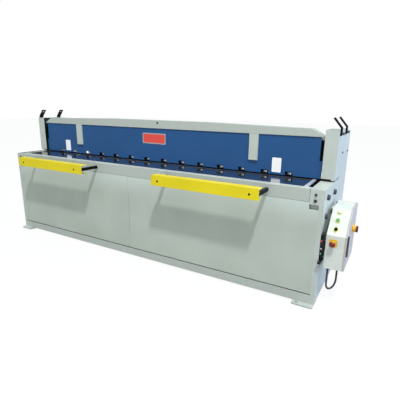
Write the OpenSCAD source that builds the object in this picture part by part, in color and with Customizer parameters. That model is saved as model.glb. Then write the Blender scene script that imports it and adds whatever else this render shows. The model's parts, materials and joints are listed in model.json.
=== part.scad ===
// Hydraulic plate shear, 3 m class. Millimetres, +X to the right, +Y to the back, +Z up.
// The origin is on the floor, in the middle of the four anchor bolt holes.

/* [Frame] */
// Length over the two end plates
machine_length = 3290; // [3100:10:3500]
// Depth of the end plates, front to back
frame_depth = 860; // [820:10:1000]
// Height of the table top above the floor
table_height = 857; // [830:1:900]
// Height of the end plates above the table
frame_rise = 374; // [350:1:420]
// Thickness of an end plate
plate_t = 33; // [25:1:40]
// Distance of the upper frame behind the table's front edge
upper_set_back = 307; // [280:1:330]
// Drop of the end plate's top towards the back
top_drop = 25; // [10:1:60]
// Run of that drop
top_drop_run = 250; // [150:10:300]
// Depth of the throat slot in an end plate
throat_depth = 223; // [180:1:260]
// Height of the throat slot
throat_h = 11; // [8:1:20]

/* [Table] */
// Height of the table's front apron
apron_h = 89; // [80:1:110]
// Thickness of the apron
apron_t = 60; // [30:1:80]
// Thickness of the table bed
bed_t = 32; // [25:1:45]
// Thickness of the web under the blade line
web_t = 38; // [25:1:50]
// Height of that web
web_h = 217; // [180:1:250]
// Distance between the ribs under the bed
bed_rib_pitch = 600; // [400:10:700]
// Thickness of a rib
bed_rib_t = 20; // [10:1:30]
// Gap between the bed and an end block
bed_gap = 28; // [15:1:40]
// Gap between the apron and an end block
apron_gap = 2; // [1:0.5:5]
// Width of a table end block
block_w = 64; // [50:1:80]
// Height of a table end block
block_h = 107; // [100:1:130]
// Thickness of the bolted plate below an end block
bracket_t = 62; // [20:1:64]
// Height of that plate
bracket_h = 150; // [120:1:180]
// Width of the squaring bar on the bed
squaring_w = 22; // [15:1:40]
// Distance of the squaring bar behind the table's front edge
squaring_in = 20; // [10:1:60]
// Height of the squaring bar
squaring_h = 8; // [5:1:16]

/* [Base] */
// Thickness of a foot plate
foot_t = 12; // [8:1:20]
// Length of a foot plate along the machine
foot_x = 152; // [130:1:200]
// Length of a foot plate front to back
foot_y = 150; // [120:1:200]
// How far a foot plate stands out from the frame
foot_proud = 47; // [40:1:80]
// Radius of an anchor hole
anchor_r = 11; // [8:0.5:14]
// Distance of an anchor hole from the machine's end
anchor_in_x = 120; // [60:1:125]
// Distance of an anchor hole from the foot's outer edge
anchor_in_y = 25; // [18:1:30]
// Height of a base rail
rail_h = 66; // [50:1:80]
// Depth of a base rail
rail_d = 50; // [40:1:80]
// Thickness of a base rail
rail_t = 6; // [4:1:10]
// Gap between a base rail and the panel above it
rail_gap = 10; // [4:1:20]
// Thickness of the panel sheet
sheet_t = 3; // [2:0.5:5]
// Depth of the panels' folded edges
fold_d = 25; // [15:1:40]
// Gap between panels, and between panel and apron
panel_gap = 2; // [1:0.5:8]
// Place of the seam between the two front panels
seam_x = -60; // [-200:10:200]
// Depth of the corner notch below an end block
notch_drop = 37; // [20:1:60]
// Height of the rear panel's top edge
rear_panel_top = 420; // [350:10:430]

/* [Clamp guard] */
// Distance of the guard behind the upper frame's front face
guard_back = 23; // [10:1:40]
// Thickness of the guard
guard_t = 8; // [5:1:12]
// Gap beside the guard at its foot
guard_side_gap = 7; // [4:1:14]
// Gap beside the guard at its top
guard_top_gap = 28; // [20:1:45]
// Height of the guard's wide lower part
guard_step_h = 132; // [100:1:180]
// Width of a notch for a hold-down foot
notch_w = 65; // [58:1:90]
// Height of a notch
notch_h = 30; // [20:1:60]
// Pitch of the hold-down feet
foot_pitch = 200; // [180:5:300]
// Radius of a hold-down foot
pad_r = 25; // [18:0.5:28]
// Height of a hold-down foot
pad_h = 52; // [40:1:60]
// Distance of the feet above the table when raised
pad_lift = 16; // [16:0.5:30]
// Radius of a hold-down rod
rod_r = 11; // [8:0.5:14]
// Running clearance around a rod
rod_play = 0.05; // [0.02:0.01:0.1]
// Distance of the feet's centres behind the guard's front face
pad_back = 40; // [38:1:60]
// Height of the clamp beam
clamp_h = 200; // [150:1:210]
// Depth of the clamp beam, front to back
clamp_d = 64; // [60:1:80]
// Wall of the clamp beam
clamp_wall = 10; // [6:1:14]
// Thickness of the clamp beam's bottom wall
clamp_floor = 20; // [15:1:30]
// Width of a guide strap
strap_w = 75; // [60:1:100]
// Depth of a guide strap
strap_d = 16; // [10:1:25]
// Length of a guide strap
strap_h = 211; // [150:1:240]
// Wall of a guide strap
strap_wall = 5; // [3:1:8]
// Distance of a guide strap from the middle
strap_x = 1000; // [800:10:1100]

/* [Top beam] */
// Height of the beam's lower edge above the table
beam_rise = 321; // [300:1:340]
// Height of the beam's face at its ends
beam_end_h = 54; // [40:1:80]
// Extra height of the beam's face in the middle
beam_crown = 18; // [5:1:40]
// Half length of the raised middle
crown_half = 550; // [300:10:900]
// Length of the slanted end
slant = 95; // [60:1:140]
// Thickness of the folded sheet
beam_t = 8; // [5:1:12]
// Depth of the folded top
beam_d = 96; // [60:1:110]

/* [Blades and ram] */
// Distance of the shear line behind the guard's front face
shear_back = 100; // [90:1:120]
// Thickness of a blade
blade_t = 22; // [15:1:30]
// Height of a blade
blade_h = 60; // [40:1:80]
// Clearance between the two blades
blade_play = 0.2; // [0.1:0.1:0.5]
// Opening between the blades at the low end
blade_open = 18; // [16:1:30]
// Rise of the upper blade over its length
blade_rake = 40; // [20:1:60]
// Thickness of the ram plate
ram_t = 30; // [20:1:40]
// Height of the ram's top above the table
ram_rise = 310; // [290:1:325]
// Depth of the ram's top flange
ram_flange = 90; // [60:1:100]
// Distance between the ram and the upper post
ram_side = 50; // [40:1:70]

/* [Upper post] */
// Width of an upper post beside its end plate
post_w = 62; // [50:1:80]
// Depth of an upper post
post_d = 220; // [200:1:240]
// Wall of an upper post
post_wall = 14; // [8:1:20]

/* [Front rails] */
// Length of a front rail
bar_len = 900; // [600:10:1000]
// Height of a front rail
bar_h = 83; // [60:1:100]
// Depth of a front rail
bar_d = 66; // [30:1:90]
// Thickness of a front rail
bar_t = 5; // [3:1:8]
// Radius of a front rail's corners
bar_r = 9; // [3:0.5:20]
// Distance of a front rail's face before the table
bar_out = 200; // [150:1:260]
// Height of a front rail's top above the table
bar_up = 1; // [0:1:20]
// Middle of the left rail
left_bar_x = -875; // [-1000:5:-600]
// Middle of the right rail
right_bar_x = 808; // [600:1:1000]
// Height of a support arm
arm_h = 25; // [20:1:40]
// Width of a support arm
arm_w = 24; // [16:1:40]
// Distance of an arm from the rail's end
arm_in = 15; // [15:1:200]

/* [Lifting lugs] */
// Thickness of a lug
lug_t = 10; // [6:1:14]
// Width of a lug
lug_w = 46; // [30:1:70]
// Height of the lug's bend above the top of the plate
lug_rise = 18; // [8:1:40]
// Height of the lug's foot below the top of the plate
lug_low = 40; // [36:1:75]
// Length of the lug's bent part
lug_arm = 92; // [60:1:120]
// Bend of the lug from upright, in degrees
lug_bend = 40; // [30:1:60]
// Radius of the lug's eye
lug_eye = 11; // [8:0.5:14]
// Distance of the front lug behind the upper frame's front face
front_lug_in = 45; // [25:1:80]
// Distance between the two lugs of an end plate
lug_pitch = 240; // [150:10:300]

/* [Rear] */
// Height of the rear tie beam
tie_h = 100; // [60:1:140]
// Distance of the tie beam below the rear corner of an end plate
tie_drop = 76; // [10:1:120]
// Depth of the rear tie beam
tie_d = 60; // [40:1:80]
// Wall of the rear tie beam
tie_wall = 6; // [4:1:10]
// Distance of a gauge arm from the middle
gauge_x = 1100; // [900:10:1200]
// Size of a gauge arm's section
gauge_w = 50; // [35:1:60]
// Length of the gauge bar
gauge_len = 2500; // [2450:10:2900]
// Distance of the gauge bar behind the shear line
gauge_y = 250; // [200:1:320]
// Thickness of the chute sheet
chute_t = 4; // [3:0.5:6]
// Gap between the chute and what lies above and below it
chute_gap = 4; // [2:0.5:8]
// Drop of the gauge bar below the lower blade
gauge_drop = 47; // [30:1:60]
// Height of the gauge bar's face above the table
gauge_up = 23; // [15:1:40]
// Width of the gauge bar's foot
gauge_foot = 80; // [50:1:90]
// Thickness of the gauge bar
gauge_t = 12; // [8:1:16]
// Radius of a ram cylinder
ram_cyl_r = 35; // [25:1:45]

/* [Control box] */
// Distance of the box from the end plate
box_off = 31; // [20:1:60]
// Width of the box without its door
box_w = 121; // [100:1:160]
// Thickness of the door
door_t = 13.5; // [10:0.5:20]
// Gap between box and door
door_gap = 0.5; // [0.3:0.1:1]
// Depth of the box, front to back
box_d = 410; // [360:1:450]
// Height of the box
box_h = 398; // [360:1:450]
// Height of the box's front face below the slope
box_front_h = 246; // [220:1:280]
// Depth of the sloped part
slope_run = 159; // [140:1:200]
// Distance of the box's front behind the table's front
box_y = 32; // [20:1:60]
// Distance of the box's brackets behind its front
bracket_in = 290; // [240:10:310]
// Height of the box's floor
box_z = 301; // [301:1:330]
// Wall of the box
box_wall = 4; // [2:0.5:6]
// Radius of a hinge pin
pin_r = 3; // [2:0.5:4]
// Running clearance around a hinge pin
pin_play = 0.05; // [0.02:0.01:0.1]
// Radius of a hinge knuckle
knuckle_r = 6; // [5:0.5:8]
// Height of a hinge
hinge_h = 60; // [40:1:90]

/* [Controls] */
// Distance of the buttons from the box's inner side
button_in = 52; // [40:1:70]
// Distance of the emergency stop from the box's inner side
stop_in = 48; // [38:1:70]
// Height of the emergency stop above the box's floor
stop_up = 193; // [150:1:205]
// Radius of a push button
button_r = 12; // [9:0.5:14]
// Travel of a push button
button_travel = 4; // [3:0.5:5]
// Radius of a button's round plate
button_plate_r = 22; // [18:0.5:26]
// Clearance around and under the moving controls
control_play = 0.3; // [0.2:0.1:0.6]
// Width of the emergency stop's plate
stop_plate = 52; // [44:1:70]
// Radius of the emergency stop's head
stop_r = 20; // [16:0.5:24]
// Travel of the emergency stop
stop_travel = 5; // [4:0.5:7]
// Width of the isolator's plate
isolator_w = 65; // [50:1:80]
// Height of the isolator above the box's floor
isolator_up = 244; // [150:1:300]
// Distance of the isolator in front of the box's back
isolator_in = 172; // [100:1:250]
// Height of the switchgear plate in the box
gear_plate_h = 180; // [120:1:195]
// Distance between the devices on that plate
gear_pitch = 62; // [55:1:66]
// Diameter of the control cable
cable_d = 14; // [8:1:18]

/* [Valve access] */
// Width of the access opening in the right end plate
access_w = 118; // [80:1:140]
// Height of the access opening
access_h = 187; // [150:1:220]
// Distance between the opening and the end block's bracket above it
access_gap = 47; // [20:1:60]
// Strip left between the opening and the plate's front edge
access_strip = 6; // [4:1:20]
// How far the valve block reaches out beside the end plate
valve_proud = 22; // [10:1:26]
// How far the valve block reaches in behind the end plate
valve_in = 50; // [30:1:80]
// Depth of the valve block, front to back
valve_d = 60; // [40:1:66]
// Height of a coil on the valve block
coil_h = 28; // [20:1:32]
// Number of coils
coils = 3; // [1:1:3]
// Width of the shelf inside the opening
shelf_w = 110; // [100:1:130]
// Thickness of the shelf
shelf_t = 10; // [6:1:15]

/* [Hidden] */
$fn = 48;

paint = [0.70, 0.73, 0.70];
dark = [0.12, 0.12, 0.13];
steel = [0.75, 0.76, 0.78];
blue = [0.16, 0.30, 0.58];
yellow = [0.88, 0.80, 0.14];
box_paint = [0.92, 0.93, 0.92];

// Cuts run past the surfaces that they open
eps = 1;

// Faces of the frame
x_out = machine_length / 2;
x_in = x_out - plate_t;
y_front = -frame_depth / 2;
y_back = frame_depth / 2;
y_upper = y_front + upper_set_back;
y_guard = y_upper + guard_back;
y_shear = y_guard + shear_back;
z_top = table_height + frame_rise;
z_slot = table_height + throat_h;
x_post = x_in - post_w;
x_block = x_in - block_w;
x_bed = x_block - bed_gap;
y_bed_back = y_shear - blade_t;

// Panels and rails
z_rail_top = foot_t + rail_h;
z_panel = z_rail_top + rail_gap;
z_apron = table_height - apron_h;
z_panel_top = z_apron - panel_gap;
z_block = table_height - block_h;
access_z = z_block - bracket_h - access_gap - access_h;

// Guard, clamp beam and feet
z_beam = table_height + beam_rise;
beam_play = 0.3;
beam_side_gap = 5;
guard_lap = 12;
guard_half = x_post - guard_side_gap;
guard_top_half = x_post - guard_top_gap;
guard_lap_half = x_post - beam_side_gap - slant - 2 * beam_t;
feet_per_side = floor((guard_top_half - notch_w) / foot_pitch);
foot_xs = [for (i = [0:feet_per_side - 1], side = [-1, 1]) side * (i + 0.5) * foot_pitch];
pad_y = y_guard + pad_back;
z_pad = table_height + pad_lift;
z_clamp = z_pad + pad_h + 25;
clamp_step = 50;
groove_h = 5;
groove_depth = 5;
rod_in_beam = 40;

// Ram
ram_half = x_post - ram_side;
blade_half = ram_half - 10;
z_ram_top = table_height + ram_rise;
y_ram = y_shear + blade_t;
ram_flange_t = 16;
rib_t = 12;
rib_pitch = 500;
rib_up = 60;
blade_seat = 12;
lug_block = [80, 115, 30];
cyl_in = 60;
cyl_x = ram_half - cyl_in;
cyl_y = y_ram + ram_t + lug_block[1] - ram_cyl_r + 3;
z_cyl_low = z_slot + 32;
cyl_plate_t = 20;
guide_lip = 10;
cyl_drop = 40;
z_cyl_top = z_ram_top - cyl_drop;
z_lug_low = z_cyl_low + blade_rake + 20;
z_lug_top = z_lug_low + lug_block[2];
rod_show = 60;
rod_share = 0.5;

// Valve block
valve_play = 3;
valve_neck = 7;
valve_base = 10;
coil_gap = 12;
valve_cap = 11;
valve_foot = [36, 14];
valve_foot_gap = 4;

// Control box
x_box = x_out + box_off;
x_door = x_box + box_w + door_gap;
y_box = y_front + box_y;
y_box_back = y_box + box_d;
z_box_top = box_z + box_h;
z_knee = box_z + box_front_h;
slope_rise = box_h - box_front_h;
slope_deg = atan2(slope_rise, slope_run);
slope_len = norm([slope_rise, slope_run]);
hinge_x = x_door + door_t / 2;
hinge_y = y_box_back + knuckle_r + 1;
hinge_in = 50;
hinge_zs = [box_z + hinge_in, z_box_top - hinge_in - hinge_h];
hinge_leaf_t = 3;
hinge_leaf_w = 30;
bracket_low = 10;
bracket_high = 75;
bracket_bar = 35;
box_in = 40;
door_back_gap = 1.5;
knuckle_h = hinge_h * 0.3;
button_x = x_box + button_in;
button_at = [0.215, 0.545, 0.86];
bezel_h = 8;
plate_h = 2;
cap_up = 4;
grip_w = 8;
grip_h = 10;
stop_x = x_box + stop_in;
stop_z = box_z + stop_up;
stop_base_h = 22;
stop_plate_t = 3;
stop_collar_r = 15;
stop_stem_r = 10;
isolator_t = 5;
isolator_collar = 22;
knob_t = 6;
knob_grip = 16;
knob_grip_h = 9;
isolator_z = box_z + isolator_up;
isolator_y = y_box_back - isolator_in;

// Devices on the switchgear plate
gear = [45, 50, 75];
gear_plate_t = 4;

// Cable: route from the front gland down, round and up to the rear gland
cable_route = [[1700, -340, 270], [1700, -340, 240], [1700, -340, 210], [1700, -340, 180],
    [1700, -340, 158], [1702, -336, 138], [1707, -325, 119], [1715, -308, 107],
    [1725, -288, 102], [1735, -268, 107], [1743, -251, 119], [1748, -240, 138],
    [1750, -236, 158], [1750, -236, 180], [1750, -236, 210], [1750, -236, 240],
    [1750, -236, 270]];
cable_sides = 12;
gland_z = 270;
gland_nut_h = 12;
gland_ends = [cable_route[0], cable_route[len(cable_route) - 1]];

// Outline in Y and Z, drawn out along X from x
module along_x(x, length) {
    translate([x, 0, 0]) rotate([90, 0, 90]) linear_extrude(length) children();
}

// Outline in X and Z, drawn out along Y from y
module along_y(y, length) {
    translate([0, y + length, 0]) rotate([90, 0, 0]) linear_extrude(length) children();
}

module on_side(side) {
    mirror([side < 0 ? 1 : 0, 0, 0]) children();
}

module block_between(low, high) {
    translate(low) cube(high - low);
}

// Rectangle with true round corners, from its lower left corner
module round_rect(w, h, r) {
    translate([r, 0]) square([w - 2 * r, h]);
    translate([0, r]) square([w, h - 2 * r]);
    for (x = [r, w - r], y = [r, h - r]) translate([x, y]) circle(r);
}

// C shaped plate with the throat slot at table height
module end_plate() {
    along_x(x_in, plate_t) difference() {
        polygon([[y_front, foot_t], [y_back, foot_t], [y_back, z_top - top_drop],
            [y_back - top_drop_run, z_top], [y_upper, z_top], [y_upper, table_height],
            [y_front, table_height]]);
        translate([y_upper - eps, table_height]) square([throat_depth - throat_h / 2 + eps, throat_h]);
        translate([y_upper + throat_depth - throat_h / 2, table_height + throat_h / 2]) circle(throat_h / 2);
    }
}

module left_end_plate() {
    color(paint) on_side(-1) end_plate();
}

// The right plate also has the valve access opening, with a shelf inside it
module right_end_plate() {
    color(paint) {
        difference() {
            end_plate();
            along_x(x_in - eps, plate_t + 2 * eps)
                translate([y_front + access_strip, access_z]) round_rect(access_w, access_h, 10);
        }
        block_between([x_in - shelf_w, y_front + fold_d + sheet_t, access_z - shelf_t],
            [x_in + eps, y_front + access_strip + access_w + 2 * shelf_t, access_z]);
    }
}

// Post beside the end plate, with the ram's guide and the bracket of its cylinder
module upper_post() {
    difference() {
        block_between([x_post, y_upper, z_slot], [x_in, y_upper + post_d, z_top]);
        block_between([x_post + post_wall, y_upper + post_wall, z_slot + post_wall],
            [x_in + eps, y_upper + post_d - post_wall, z_top - post_wall]);
    }
    block_between([ram_half, y_ram - guide_lip, z_cyl_low],
        [x_post + eps, y_ram + ram_t + guide_lip, z_ram_top]);
    block_between([cyl_x - ram_cyl_r - guide_lip, y_upper + post_d - eps, z_cyl_top],
        [x_in, cyl_y + ram_cyl_r + guide_lip, z_cyl_top + cyl_plate_t]);
}

module left_upper_post() {
    color(paint) on_side(-1) upper_post();
}

module right_upper_post() {
    color(paint) upper_post();
}

// End block of the table, with the plate that is bolted to the end plate
module table_block() {
    block_between([x_block, y_front, z_block], [x_in, y_shear, table_height]);
    block_between([x_in - bracket_t, y_front + fold_d + sheet_t, z_block - bracket_h],
        [x_in, y_shear, z_block + eps]);
}

module left_table_block() {
    color(paint) on_side(-1) table_block();
}

module right_table_block() {
    color(paint) table_block();
}

// Ground bed with the web that carries the lower blade
module table_bed() {
    color(steel) {
        block_between([-x_bed, y_front + apron_t, table_height - bed_t], [x_bed, y_bed_back, table_height]);
        block_between([-x_block, y_bed_back - web_t, table_height - web_h],
            [x_block, y_bed_back, table_height - bed_t + eps]);
        for (i = [-2:2]) translate([i * bed_rib_pitch, 0, 0])
            block_between([-bed_rib_t / 2, y_front + apron_t, z_apron],
                [bed_rib_t / 2, y_bed_back - web_t + eps, table_height - bed_t + eps]);
    }
}

module table_apron() {
    half = x_block - apron_gap;
    color(paint) block_between([-half, y_front, z_apron], [half, y_front + apron_t, table_height]);
}

// Bar across the bed near its right end, for squaring a sheet
module squaring_bar() {
    color(steel) block_between([x_bed - squaring_w - 4, y_front + squaring_in, table_height],
        [x_bed - 4, y_guard - 20, table_height + squaring_h]);
}

// Outline of a front panel from its seam, with the corner notch under the end block
function panel_points(seam, inset) = let (x = seam + panel_gap / 2 + inset)
    [[x, z_panel + inset], [x_in - inset, z_panel + inset],
    [x_in - inset, z_block - notch_drop - inset], [x_block - inset, z_block - notch_drop - inset],
    [x_block - inset, z_panel_top - inset], [x, z_panel_top - inset]];

module front_panel(seam) {
    difference() {
        along_y(y_front, fold_d) polygon(panel_points(seam, 0));
        along_y(y_front + sheet_t, fold_d) polygon(panel_points(seam, sheet_t));
    }
}

module left_front_panel() {
    color(paint) on_side(-1) front_panel(-seam_x);
}

// The side fold is cut away beside the access opening
module right_front_panel() {
    color(paint) difference() {
        front_panel(seam_x);
        block_between([x_in - sheet_t - eps, y_front + sheet_t, access_z - shelf_t],
            [x_in + eps, y_front + fold_d + eps, access_z + access_h + shelf_t]);
    }
}

// Channels between the end plates, at the front and the back
module base_rails() {
    color(paint) for (turn = [0, 180]) rotate([0, 0, turn]) along_x(-x_in, 2 * x_in) difference() {
        translate([y_front, foot_t]) square([rail_d, rail_h]);
        translate([y_front + rail_t, foot_t + rail_t]) square([rail_d, rail_h - 2 * rail_t]);
    }
}

module foot_plates() {
    color(paint) for (side = [-1, 1], turn = [0, 1]) on_side(side) mirror([0, turn, 0])
        linear_extrude(foot_t) difference() {
            translate([x_out - foot_x, y_front - foot_proud]) round_rect(foot_x, foot_y, 8);
            translate([x_out - anchor_in_x, y_front - foot_proud + anchor_in_y]) circle(anchor_r);
        }
}

// Face of the top beam, crowned in the middle and slanted at its ends
function beam_points(inset) = let (half = x_post - beam_side_gap, z_end = z_beam + beam_end_h - inset)
    [[half - 2 * inset, z_beam], [half - slant - inset, z_end], [crown_half, z_end + beam_crown],
    [-crown_half, z_end + beam_crown], [-half + slant + inset, z_end], [-half + 2 * inset, z_beam]];

module top_beam() {
    color(paint) difference() {
        along_y(y_guard - beam_t, beam_d) polygon(beam_points(0));
        along_y(y_guard, beam_d) {
            polygon(beam_points(beam_t));
            translate([-x_post + slant, z_beam - eps]) square([2 * (x_post - slant), 2 * eps]);
        }
    }
}

// Plate with a notch for every hold-down foot
module clamp_guard() {
    color(blue) along_y(y_guard, guard_t) difference() {
        union() {
            translate([-guard_half, z_slot]) square([2 * guard_half, guard_step_h]);
            translate([-guard_top_half, z_slot]) square([2 * guard_top_half, z_beam - beam_play - z_slot]);
            translate([-guard_lap_half, z_slot]) square([2 * guard_lap_half, z_beam + guard_lap - z_slot]);
        }
        for (x = foot_xs) translate([x - notch_w / 2, z_slot - 20]) round_rect(notch_w, notch_h + 20, 8);
    }
}

module guide_straps() {
    z = z_beam - strap_h;
    color(paint) for (side = [-1, 1]) on_side(side) translate([strap_x - strap_w / 2, 0, 0]) difference() {
        block_between([0, y_guard - strap_d, z], [strap_w, y_guard, z + strap_h]);
        block_between([strap_wall, y_guard - strap_d + strap_wall, z - eps],
            [strap_w - strap_wall, y_guard + eps, z + strap_h + eps]);
    }
}

// Hollow beam behind the guard, bored for the rods of the feet
module clamp_beam() {
    y = y_guard + guard_t;
    color(dark) difference() {
        union() {
            block_between([-guard_top_half, y, z_clamp], [guard_top_half, y + clamp_d, z_clamp + clamp_h]);
            block_between([-x_post, y + clamp_wall + 2, z_clamp + clamp_step],
                [x_post, y + clamp_d - clamp_wall - 2, z_clamp + clamp_h]);
        }
        block_between([-guard_top_half + clamp_wall, y + clamp_wall, z_clamp + clamp_floor],
            [guard_top_half - clamp_wall, y + clamp_d - clamp_wall, z_clamp + clamp_h - clamp_wall]);
        for (x = foot_xs) translate([x, pad_y, z_clamp - eps])
            cylinder(h = clamp_floor + 2 * eps, r = rod_r + rod_play);
    }
}

// One turned foot: pad, groove, body and rod
module holddown_foot() {
    rotate_extrude() polygon([[0, 0], [pad_r - 2, 0], [pad_r, 2], [pad_r, pad_h * 0.4],
        [pad_r - groove_depth, pad_h * 0.4], [pad_r - groove_depth, pad_h * 0.4 + groove_h],
        [pad_r, pad_h * 0.4 + groove_h], [pad_r, pad_h - 4], [pad_r - 4, pad_h], [rod_r, pad_h],
        [rod_r, z_clamp - z_pad + rod_in_beam], [0, z_clamp - z_pad + rod_in_beam]]);
}

module holddown_feet() {
    color(steel) for (x = foot_xs) translate([x, pad_y, z_pad]) holddown_foot();
}

// Height of the upper blade's edge at x
function blade_z(x) = table_height + blade_open + blade_rake * (x + blade_half) / (2 * blade_half);

// Ram plate with a raked foot, a top flange, ribs and a block over each cylinder rod
module ram() {
    color(paint) {
        along_y(y_ram, ram_t) polygon([[-ram_half, blade_z(-ram_half) + blade_seat],
            [ram_half, blade_z(ram_half) + blade_seat], [ram_half, z_ram_top], [-ram_half, z_ram_top]]);
        block_between([-ram_half, y_ram + ram_t - eps, z_ram_top - ram_flange_t],
            [ram_half, y_ram + ram_flange, z_ram_top]);
        for (i = [-2:2]) along_x(i * rib_pitch - rib_t / 2, rib_t)
            polygon([[y_ram + ram_t - eps, z_slot + rib_up], [y_ram + ram_t + rib_t, z_slot + rib_up],
                [y_ram + ram_flange, z_ram_top - ram_flange_t + eps],
                [y_ram + ram_t - eps, z_ram_top - ram_flange_t + eps]]);
        for (side = [-1, 1]) on_side(side)
            block_between([cyl_x - lug_block[0] / 2, y_ram + ram_t - eps, z_lug_low],
                [cyl_x + lug_block[0] / 2, y_ram + ram_t + lug_block[1], z_lug_top]);
    }
}

// Cylinder and rod between the ram and the bracket on each post
module ram_cylinders() {
    color(dark) for (side = [-1, 1]) on_side(side) translate([cyl_x, cyl_y, 0]) {
        translate([0, 0, z_lug_top]) cylinder(h = rod_show + eps, r = ram_cyl_r * rod_share);
        translate([0, 0, z_lug_top + rod_show]) cylinder(h = z_cyl_top - z_lug_top - rod_show, r = ram_cyl_r);
    }
}

module upper_blade() {
    low = blade_z(-blade_half);
    high = blade_z(blade_half);
    color(steel) along_y(y_shear + blade_play, blade_t - blade_play)
        polygon([[-blade_half, low], [blade_half, high], [blade_half, high + blade_h],
            [-blade_half, low + blade_h]]);
}

module lower_blade() {
    color(steel) block_between([-x_bed, y_bed_back, table_height - blade_h], [x_bed, y_shear, table_height]);
}

// Yellow channel with rounded corners, open towards the table and at its ends
module front_rail(middle) {
    color(yellow) translate([middle - bar_len / 2, 0, table_height + bar_up - bar_h]) difference() {
        along_y(y_front - bar_out, bar_d) round_rect(bar_len, bar_h, bar_r);
        along_y(y_front - bar_out + bar_t, bar_d) translate([-eps, bar_t])
            square([bar_len + 2 * eps, bar_h - 2 * bar_t]);
    }
}

module left_front_rail() {
    front_rail(left_bar_x);
}

module right_front_rail() {
    front_rail(right_bar_x);
}

// Arms that carry the front rails, from the apron to the inside of the channels
module rail_arms() {
    z = table_height + bar_up - bar_h / 2 - arm_h / 2;
    color(dark) for (middle = [left_bar_x, right_bar_x], end = [-1, 1])
        translate([middle + end * (bar_len / 2 - arm_in) - arm_w / 2, 0, 0])
            block_between([0, y_front - bar_out + bar_t, z], [arm_w, y_front, z + arm_h]);
}

// Bent flat bar with an eye, against the outer face of the end plate
module lifting_lug(y) {
    along = [-sin(lug_bend), cos(lug_bend)];
    lug_up = lug_low + lug_rise;
    bend = [lug_t, lug_up];
    tip = bend + lug_arm * along;
    eye = bend + (lug_arm - lug_w / 2) * along;
    translate([x_out, 0, z_top - lug_low]) difference() {
        along_y(y - lug_w / 2, lug_w) polygon([[0, 0], [lug_t, 0], bend, tip,
            tip - lug_t * [along[1], -along[0]], [0, lug_up - lug_t * tan(lug_bend / 2)]]);
        translate([eye[0], y, eye[1]]) rotate([0, 90 - lug_bend, 0])
            cylinder(h = 4 * lug_t, r = lug_eye, center = true);
    }
}

module lifting_lugs() {
    y = y_upper + front_lug_in;
    color(dark) for (side = [-1, 1], i = [0, 1]) on_side(side) lifting_lug(y + i * lug_pitch);
}

module rear_tie_beam() {
    z = z_top - top_drop - tie_drop - tie_h;
    color(paint) along_x(-x_in, 2 * x_in) difference() {
        translate([y_back - tie_d, z]) square([tie_d, tie_h]);
        translate([y_back - tie_d + tie_wall, z + tie_wall])
            square([tie_d - 2 * tie_wall, tie_h - 2 * tie_wall]);
    }
}

module rear_panel() {
    color(paint) difference() {
        block_between([-x_in, y_back - fold_d, z_panel], [x_in, y_back, rear_panel_top]);
        block_between([-x_in + sheet_t, y_back - fold_d - eps, z_panel + sheet_t],
            [x_in - sheet_t, y_back - sheet_t, rear_panel_top - sheet_t]);
    }
}

// Slanted sheet that carries cut pieces out over the rear panel
module drop_chute() {
    y0 = y_shear + chute_gap;
    y1 = y_back - sheet_t - eps;
    z0 = table_height - web_h - chute_gap;
    z1 = rear_panel_top + chute_t + chute_gap;
    color(paint) along_x(-x_in, 2 * x_in)
        polygon([[y0, z0 - chute_t], [y1, z1 - chute_t], [y1, z1], [y0, z0]]);
}

module gauge_arms() {
    z = table_height - blade_h - gauge_drop - gauge_w;
    color(dark) for (side = [-1, 1]) on_side(side) block_between([gauge_x - gauge_w / 2, y_bed_back, z],
        [gauge_x + gauge_w / 2, y_back - fold_d, z + gauge_w]);
}

// Angle bar that a sheet is pushed against, on the two arms
module back_gauge() {
    y = y_shear + gauge_y;
    z = table_height - blade_h - gauge_drop;
    color(dark) along_x(-gauge_len / 2, gauge_len) polygon([[y, z], [y + gauge_foot, z],
        [y + gauge_foot, z + gauge_t], [y + gauge_t, z + gauge_t], [y + gauge_t, table_height + gauge_up],
        [y, table_height + gauge_up]]);
}

// Valve block with its coils: it stands on the shelf in the access opening and reaches out beside
// the end plate, above a foot that is bolted to the plate's outer face
module valve_manifold() {
    x = [x_in - valve_in, x_out + valve_proud];
    y = y_front + access_strip + valve_play;
    color(dark) {
        block_between([x[0], y + valve_neck, access_z], [x[1] - valve_neck, y + valve_d - valve_neck,
            access_z + access_h - valve_play]);
        for (i = [0:coils - 1]) let (z = access_z + valve_base + i * (coil_h + coil_gap))
            block_between([x[0], y, z], [x[1], y + valve_d, z + coil_h]);
        block_between([x[0], y, access_z + access_h - valve_play - valve_cap],
            [x[1], y + valve_d, access_z + access_h - valve_play]);
        block_between([x_out, y_front - valve_foot[0], access_z - valve_foot_gap - valve_foot[1]],
            [x[1], y + valve_d, access_z - valve_foot_gap]);
    }
}

module box_brackets() {
    color(box_paint) for (z = [box_z + bracket_low, z_box_top - bracket_high])
        block_between([x_out, y_box + bracket_in, z], [x_box, y_box_back - box_in, z + bracket_bar]);
}

function box_profile(inset) = let (k = tan(slope_deg / 2)) [[y_box + inset, box_z + inset],
    [y_box_back - inset, box_z + inset], [y_box_back - inset, z_box_top - inset],
    [y_box + slope_run + inset * k, z_box_top - inset],
    [y_box + inset, z_knee - inset * tan(45 - slope_deg / 2)]];

// One half of a hinge's leaf and knuckles on the box, with the pin
module hinge_on_box(z) {
    x_leaf = x_box + box_w - hinge_leaf_w;
    for (dz = [0, hinge_h - knuckle_h]) {
        translate([hinge_x, hinge_y, z + dz]) cylinder(h = knuckle_h, r = knuckle_r);
        block_between([x_leaf, y_box_back - eps, z + dz],
            [x_box + box_w - eps, y_box_back + hinge_leaf_t, z + dz + knuckle_h]);
        block_between([x_leaf, y_box_back + beam_play, z + dz],
            [hinge_x, y_box_back + hinge_leaf_t, z + dz + knuckle_h]);
    }
    block_between([x_leaf, y_box_back - eps, z],
        [x_box + box_w - eps, y_box_back + hinge_leaf_t, z + hinge_h]);
    translate([hinge_x, hinge_y, z]) cylinder(h = hinge_h, r = pin_r);
}

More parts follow.
